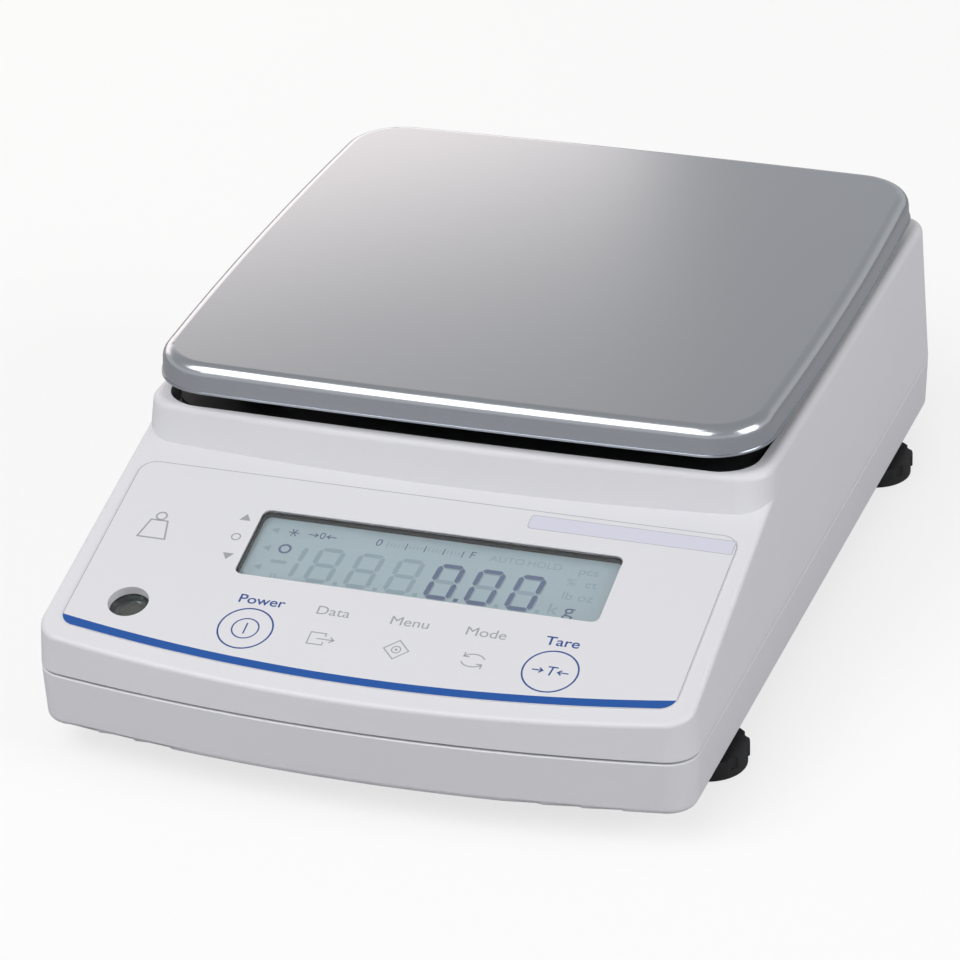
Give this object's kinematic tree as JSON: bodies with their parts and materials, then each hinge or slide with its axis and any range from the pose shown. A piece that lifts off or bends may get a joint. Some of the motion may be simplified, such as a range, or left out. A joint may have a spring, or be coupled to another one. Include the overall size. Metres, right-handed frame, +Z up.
{
  "type": "laboratory balance",
  "caption": "Top-loading laboratory balance with a square steel pan on a platform behind a sloping panel with display, keys and spirit level, on screw-in levelling feet.",
  "frame": {"origin": "on the table under the middle of the box round the whole balance", "axes": "+X to the right seen from the keys, +Y to the back, +Z up"},
  "size_m": [0.2114, 0.3034, 0.0918],
  "materials": {
    "housing": "light grey moulded plastic with a fine satin grain",
    "pan_steel": "stainless steel sheet with a fine satin finish",
    "black_plastic": "black moulded plastic",
    "rubber": "black rubber",
    "film": "printed polyester film with a soft gloss",
    "key_cap": "printed key caps with a soft gloss",
    "clear": "clear pane",
    "vial": "clear acrylic vial",
    "display": "liquid crystal display glass",
    "light_guide": "white light guide",
    "board": "green circuit board",
    "switch": "black switch bodies",
    "alloy": "milled aluminium alloy",
    "cast_alloy": "cast aluminium alloy",
    "steel": "zinc plated steel",
    "fork_steel": "ground elastic alloy",
    "brass": "turned brass",
    "nickel": "nickel plated",
    "cable": "grey flat cable"
  },
  "bodies": {
    "case": {"upper_housing": "housing", "lower_housing": "housing", "case_screws": "steel", "chassis": "cast_alloy", "main_board": "board", "serial_shell": "nickel", "serial_insert": "black_plastic", "jackscrews": "nickel", "power_jack": "black_plastic", "power_pin": "nickel", "panel_film": "film", "display_pane": "clear", "display_frame": "black_plastic", "display_glass": "display", "light_guide": "light_guide", "display_board": "board", "key_switches": "switch", "level_vial": "vial", "level_cup": "black_plastic", "board_screws": "steel", "foot_bushes": "brass", "hook_cover": "black_plastic", "ribbon_cable": "cable", "weigh_frame": "alloy", "tuning_fork": "fork_steel"},
    "pan": {"weighing_pan": "pan_steel", "pan_support": "black_plastic", "pan_cushions": "rubber", "load_post": "alloy", "load_bracket": "alloy", "weigh_block": "alloy"},
    "key_power": {"key_power": "key_cap"},
    "key_print": {"key_print": "key_cap"},
    "key_set": {"key_set": "key_cap"},
    "key_function": {"key_function": "key_cap"},
    "key_tare": {"key_tare": "key_cap"},
    "foot_front_left": {"foot_pad_front_left": "rubber"},
    "knob_front_left": {"foot_knob_front_left": "black_plastic"},
    "foot_front_right": {"foot_pad_front_right": "rubber"},
    "knob_front_right": {"foot_knob_front_right": "black_plastic"},
    "foot_rear_left": {"foot_pad_rear_left": "rubber"},
    "knob_rear_left": {"foot_knob_rear_left": "black_plastic"},
    "foot_rear_right": {"foot_pad_rear_right": "rubber"},
    "knob_rear_right": {"foot_knob_rear_right": "black_plastic"}
  },
  "joints": [
    {"name": "pan_load", "type": "slide", "parent": "case", "child": "pan", "axis": [0, 0, -1], "range_m": [0, 0.0003], "stiffness_N_per_m": 100000, "springref_m": -0.00009},
    {"name": "key_power_press", "type": "slide", "parent": "case", "child": "key_power", "axis": [0, 0.2723, -0.9622], "range_m": [0, 0.0004], "stiffness_N_per_m": 4000, "springref_m": -0.0001},
    {"name": "key_print_press", "type": "slide", "parent": "case", "child": "key_print", "axis": [0, 0.2723, -0.9622], "range_m": [0, 0.0004], "stiffness_N_per_m": 4000, "springref_m": -0.0001},
    {"name": "key_set_press", "type": "slide", "parent": "case", "child": "key_set", "axis": [0, 0.2723, -0.9622], "range_m": [0, 0.0004], "stiffness_N_per_m": 4000, "springref_m": -0.0001},
    {"name": "key_function_press", "type": "slide", "parent": "case", "child": "key_function", "axis": [0, 0.2723, -0.9622], "range_m": [0, 0.0004], "stiffness_N_per_m": 4000, "springref_m": -0.0001},
    {"name": "key_tare_press", "type": "slide", "parent": "case", "child": "key_tare", "axis": [0, 0.2723, -0.9622], "range_m": [0, 0.0004], "stiffness_N_per_m": 4000, "springref_m": -0.0001},
    {"name": "foot_front_left_lift", "type": "slide", "parent": "case", "child": "foot_front_left", "axis": [0, 0, -1], "range_m": [-0.0028, 0.004]},
    {"name": "foot_front_left_turn", "type": "hinge", "parent": "foot_front_left", "child": "knob_front_left", "pos_m": [-0.093, -0.0933, 0], "axis": [0, 0, -1], "range_deg": [-807, 1153]},
    {"name": "foot_front_right_lift", "type": "slide", "parent": "case", "child": "foot_front_right", "axis": [0, 0, -1], "range_m": [-0.0028, 0.004]},
    {"name": "foot_front_right_turn", "type": "hinge", "parent": "foot_front_right", "child": "knob_front_right", "pos_m": [0.093, -0.0933, 0], "axis": [0, 0, -1], "range_deg": [-807, 1153]},
    {"name": "foot_rear_left_lift", "type": "slide", "parent": "case", "child": "foot_rear_left", "axis": [0, 0, -1], "range_m": [-0.0028, 0.004]},
    {"name": "foot_rear_left_turn", "type": "hinge", "parent": "foot_rear_left", "child": "knob_rear_left", "pos_m": [-0.093, 0.1039, 0], "axis": [0, 0, -1], "range_deg": [-807, 1153]},
    {"name": "foot_rear_right_lift", "type": "slide", "parent": "case", "child": "foot_rear_right", "axis": [0, 0, -1], "range_m": [-0.0028, 0.004]},
    {"name": "foot_rear_right_turn", "type": "hinge", "parent": "foot_rear_right", "child": "knob_rear_right", "pos_m": [0.093, 0.1039, 0], "axis": [0, 0, -1], "range_deg": [-807, 1153]}
  ],
  "couplings": [
    {"joint": "foot_front_left_turn", "follows": "foot_front_left_lift", "rad_per_m": 5026.5},
    {"joint": "foot_front_right_turn", "follows": "foot_front_right_lift", "rad_per_m": 5026.5},
    {"joint": "foot_rear_left_turn", "follows": "foot_rear_left_lift", "rad_per_m": 5026.5},
    {"joint": "foot_rear_right_turn", "follows": "foot_rear_right_lift", "rad_per_m": 5026.5}
  ]
}
